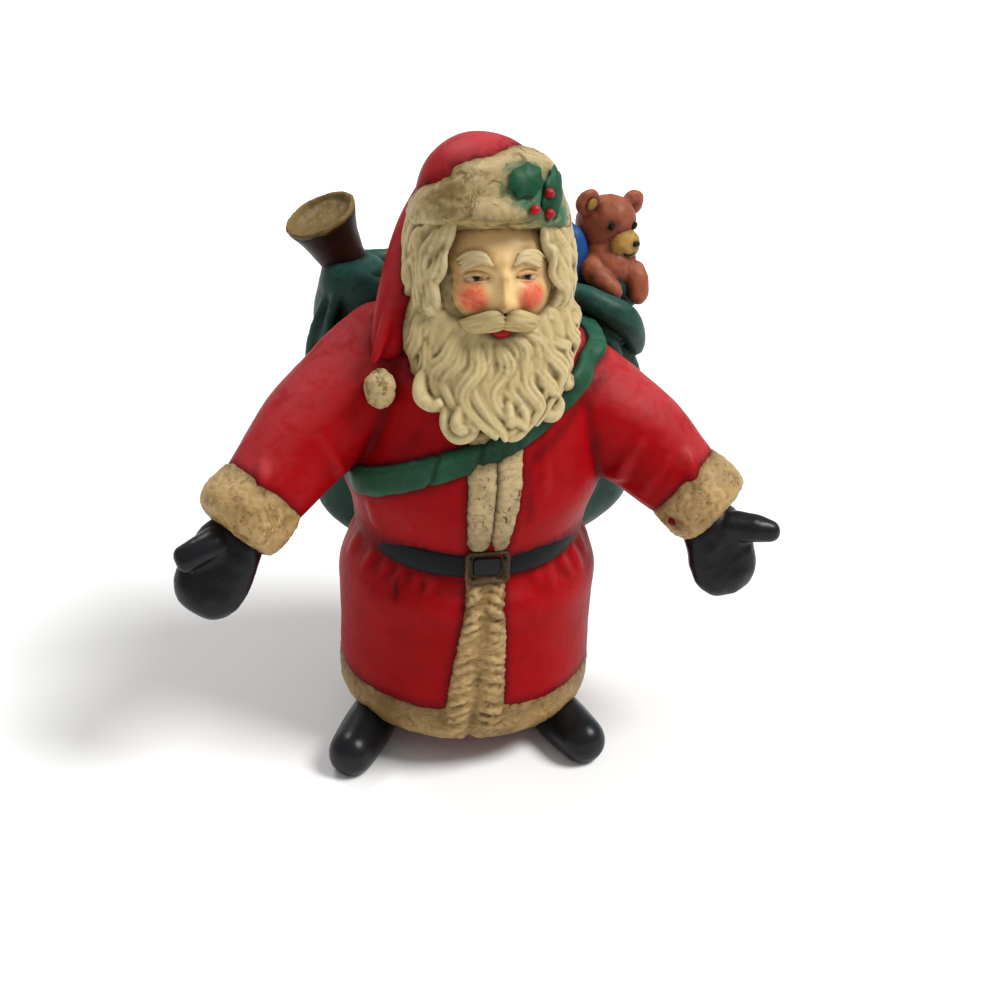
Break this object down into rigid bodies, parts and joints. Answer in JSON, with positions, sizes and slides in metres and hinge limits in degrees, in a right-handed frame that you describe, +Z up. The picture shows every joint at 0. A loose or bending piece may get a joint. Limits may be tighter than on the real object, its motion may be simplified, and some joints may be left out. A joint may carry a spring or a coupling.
{
  "type": "santa figure",
  "caption": "Small hand-painted moulded Santa figure standing on its boots, arms held out, with a toy sack on its back",
  "frame": {"origin": "middle of the bounding box's foot, on the surface that the boots stand on", "axes": "+Z up, the figure looks toward -Y, +X is to the right of a viewer who faces it"},
  "size_m": [0.1066, 0.0554, 0.1112],
  "materials": {
    "painted_vinyl": "satin hand-painted vinyl, red coat with cream fur, black boots and mittens, green sack"
  },
  "bodies": {
    "root": {"santa_figure": "painted_vinyl"}
  },
  "joints": []
}
